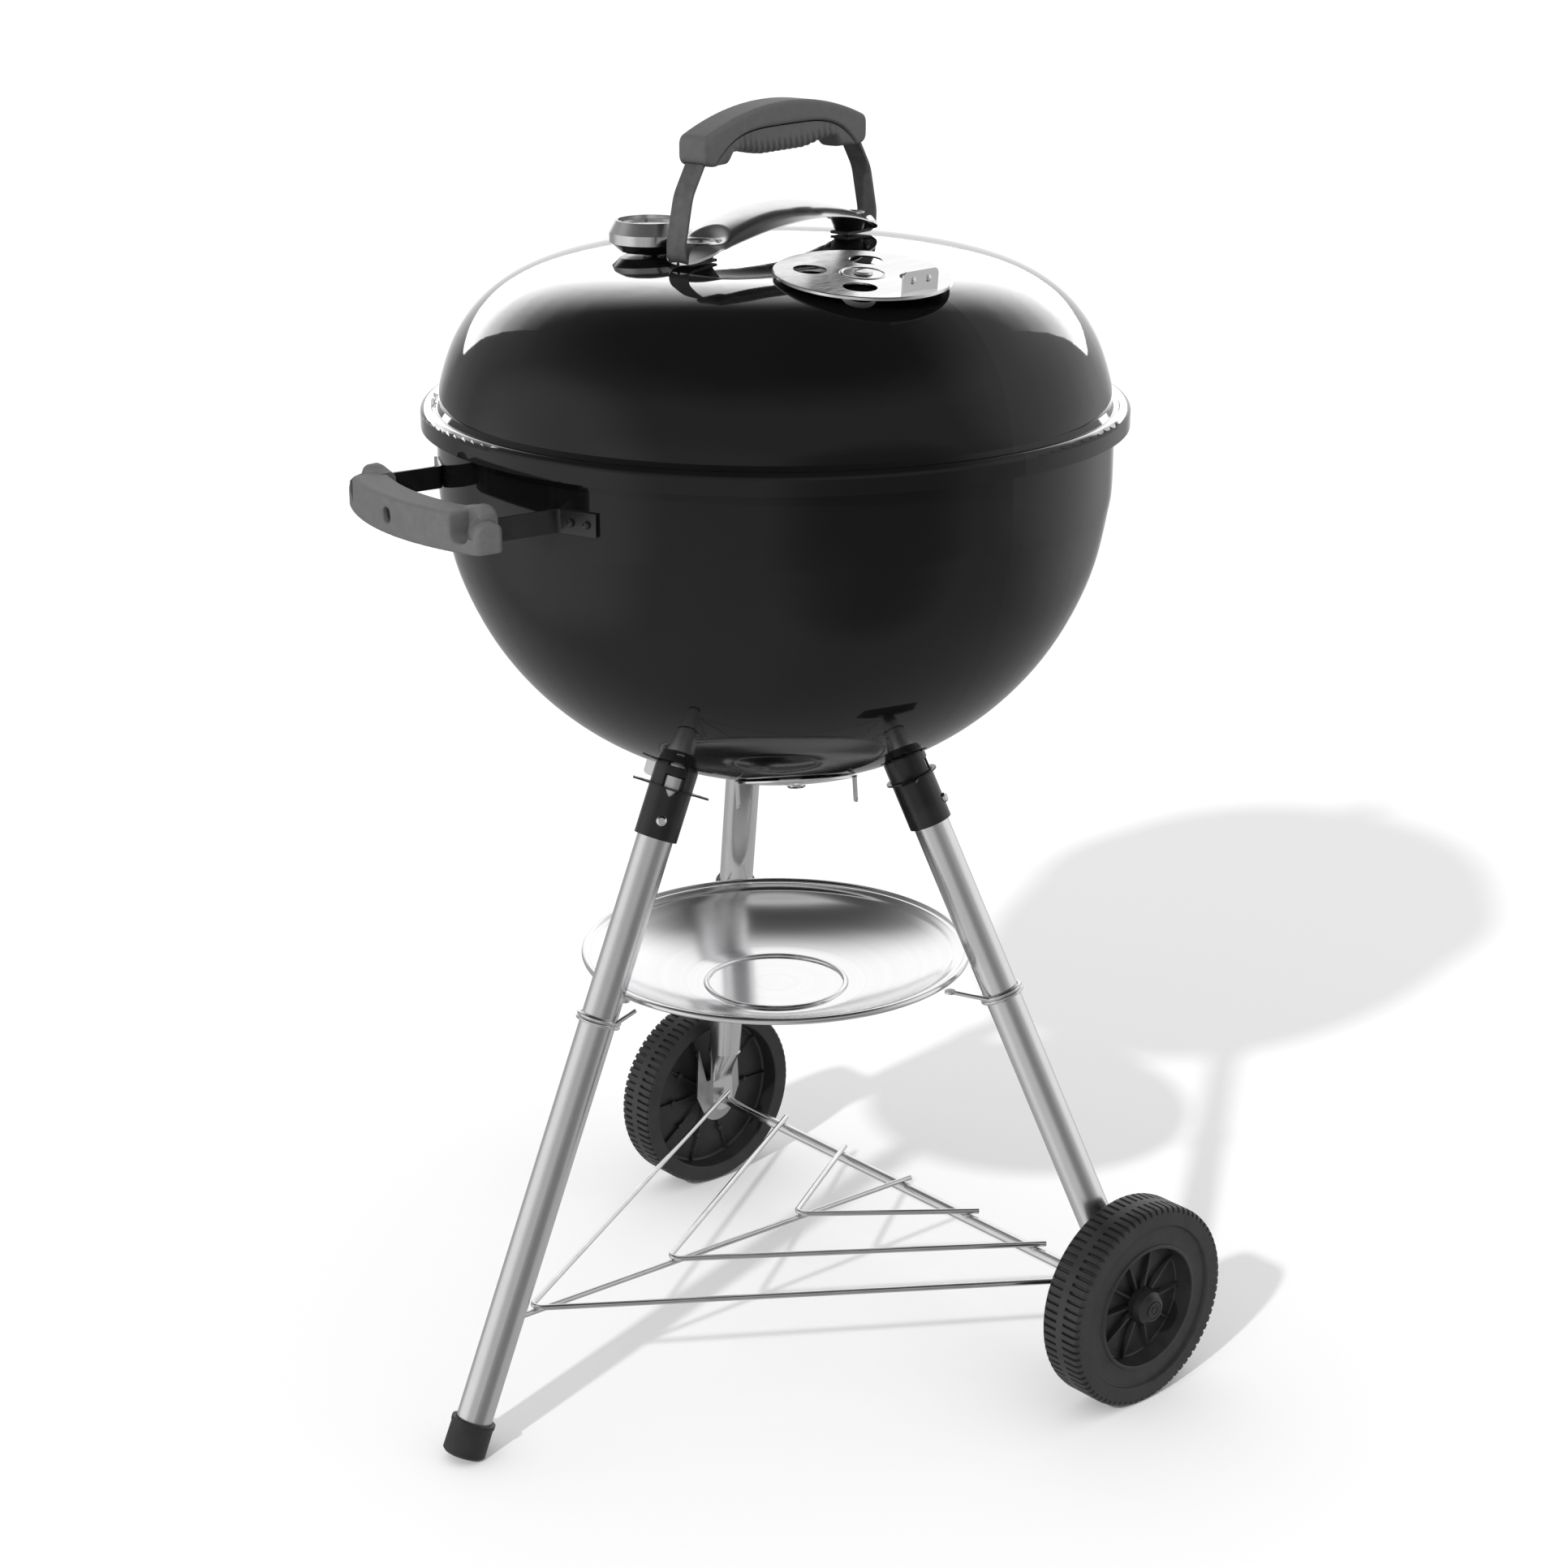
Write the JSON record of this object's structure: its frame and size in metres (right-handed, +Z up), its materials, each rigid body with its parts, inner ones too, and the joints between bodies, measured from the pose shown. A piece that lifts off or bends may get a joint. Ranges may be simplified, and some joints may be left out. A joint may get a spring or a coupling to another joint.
{
  "type": "kettle charcoal grill",
  "caption": "Kettle charcoal grill: round black enamel bowl and lift-off lid on a tripod with wheels, ash pan, bottom rack, vents and handles.",
  "frame": {"origin": "on the ground, under the middle of the grill's box", "axes": "+Z up; the foot leg and the side handle point to -Y; the wheel axle runs along X on the +Y side"},
  "size_m": [0.5232, 0.5395, 0.906],
  "materials": {
    "black_enamel": "gloss enamel",
    "leg_aluminium": "satin",
    "bright_aluminium": "polished",
    "steel_wire": "bright plated",
    "stainless": "brushed",
    "grate_steel": "plated wire",
    "black_steel": "satin black",
    "grey_plastic": "fine texture",
    "grey_strap": "fine texture",
    "black_plastic": "moulded",
    "wheel_black": "moulded",
    "foot_rubber": "matt",
    "dial_face": "printed",
    "needle_black": "matt",
    "gauge_glass": "clear"
  },
  "bodies": {
    "grill": {"ash_pan": "bright_aluminium", "axle": "steel_wire", "bowl": "black_enamel", "bracket_left": "leg_aluminium", "bracket_right": "leg_aluminium", "charcoal_grate_tabs": "black_enamel", "cooking_grate_tabs": "black_enamel", "foot_cap": "foot_rubber", "hub_cap_left": "black_plastic", "hub_cap_right": "black_plastic", "leg_front": "leg_aluminium", "leg_left": "leg_aluminium", "leg_right": "leg_aluminium", "leg_socket_front": "black_steel", "leg_socket_left": "black_steel", "leg_socket_right": "black_steel", "pan_clip_front": "steel_wire", "pan_clip_left": "steel_wire", "pan_clip_right": "steel_wire", "rack_centre_wire": "steel_wire", "rack_wire_long": "steel_wire", "rack_wire_middle": "steel_wire", "rack_wire_short": "steel_wire", "side_handle_grip": "grey_plastic", "side_handle_insert": "grey_plastic", "side_handle_rivets": "black_steel", "side_handle_screw": "black_plastic", "side_handle_strap": "black_steel", "socket_clip_front": "black_steel", "socket_clip_left": "black_steel", "socket_clip_right": "black_steel", "vent_rivets": "stainless"},
    "lid": {"lid": "black_enamel", "lid_damper_rivet": "stainless", "lid_grip_lower": "grey_plastic", "lid_grip_upper": "grey_plastic", "lid_handle_bushes": "black_plastic", "lid_handle_frame": "grey_strap", "lid_handle_screws": "stainless", "heat_shield": "stainless", "thermometer_bezel": "stainless", "thermometer_dial": "dial_face", "thermometer_glass": "gauge_glass", "thermometer_stem": "stainless"},
    "lid_damper": {"lid_damper": "bright_aluminium"},
    "thermometer_needle": {"thermometer_needle": "needle_black"},
    "cooking_grate": {"cooking_grate": "grate_steel", "cooking_grate_wires": "grate_steel"},
    "charcoal_grate": {"charcoal_grate": "grate_steel", "charcoal_grate_wires": "grate_steel"},
    "wheel_right": {"wheel_right": "wheel_black"},
    "wheel_left": {"wheel_left": "wheel_black"},
    "bowl_vent_front": {"bowl_vent_front": "bright_aluminium"},
    "bowl_vent_back": {"bowl_vent_back": "bright_aluminium"},
    "bowl_vent_left": {"bowl_vent_left": "bright_aluminium"},
    "spring_button_front": {"spring_button_front": "stainless"},
    "spring_button_right": {"spring_button_right": "stainless"},
    "spring_button_left": {"spring_button_left": "stainless"}
  },
  "joints": [
    {"name": "lid_lift", "type": "slide", "parent": "grill", "child": "lid", "axis": [0, 0, 1], "range_m": [0, 0.35]},
    {"name": "lid_damper_turn", "type": "hinge", "parent": "lid", "child": "lid_damper", "pos_m": [0.11692, 0.00294, 0.80571], "axis": [0.1106, -0.0255, 0.9935], "range_deg": [-45, 45]},
    {"name": "thermometer_needle_turn", "type": "hinge", "parent": "lid", "child": "thermometer_needle", "pos_m": [-0.042, -0.04307, 0.8211], "axis": [0, 0, 1], "range_deg": [-220, 0]},
    {"name": "cooking_grate_lift", "type": "slide", "parent": "grill", "child": "cooking_grate", "axis": [0, 0, 1], "range_m": [0, 0.02]},
    {"name": "charcoal_grate_lift", "type": "slide", "parent": "grill", "child": "charcoal_grate", "axis": [0, 0, 1], "range_m": [0, 0.12]},
    {"name": "wheel_right_spin", "type": "hinge", "parent": "grill", "child": "wheel_right", "pos_m": [0.24, 0.15903, 0.075], "axis": [1, 0, 0], "continuous": true},
    {"name": "wheel_left_spin", "type": "hinge", "parent": "grill", "child": "wheel_left", "pos_m": [-0.24, 0.15903, 0.075], "axis": [1, 0, 0], "continuous": true},
    {"name": "bowl_vent_front_turn", "type": "hinge", "parent": "grill", "child": "bowl_vent_front", "pos_m": [0.06495, -0.00757, 0.45668], "axis": [0.2554, -0.1475, -0.9555], "range_deg": [0, 60]},
    {"name": "bowl_vent_back_turn", "type": "hinge", "parent": "grill", "child": "bowl_vent_back", "pos_m": [0, 0.10493, 0.45668], "axis": [0, 0.2949, -0.9555], "range_deg": [0, 60]},
    {"name": "bowl_vent_left_turn", "type": "hinge", "parent": "grill", "child": "bowl_vent_left", "pos_m": [-0.06495, -0.00757, 0.45668], "axis": [-0.2554, -0.1475, -0.9555], "range_deg": [0, 60]},
    {"name": "spring_button_front_press", "type": "slide", "parent": "grill", "child": "spring_button_front", "axis": [-0.7704, 0.5859, -0.2513], "range_m": [0, 0.0035], "stiffness_N_per_m": 400},
    {"name": "spring_button_right_press", "type": "slide", "parent": "grill", "child": "spring_button_right", "axis": [-0.6371, -0.6638, -0.3917], "range_m": [0, 0.0035], "stiffness_N_per_m": 400},
    {"name": "spring_button_left_press", "type": "slide", "parent": "grill", "child": "spring_button_left", "axis": [0.6371, -0.6638, -0.3917], "range_m": [0, 0.0035], "stiffness_N_per_m": 400}
  ]
}
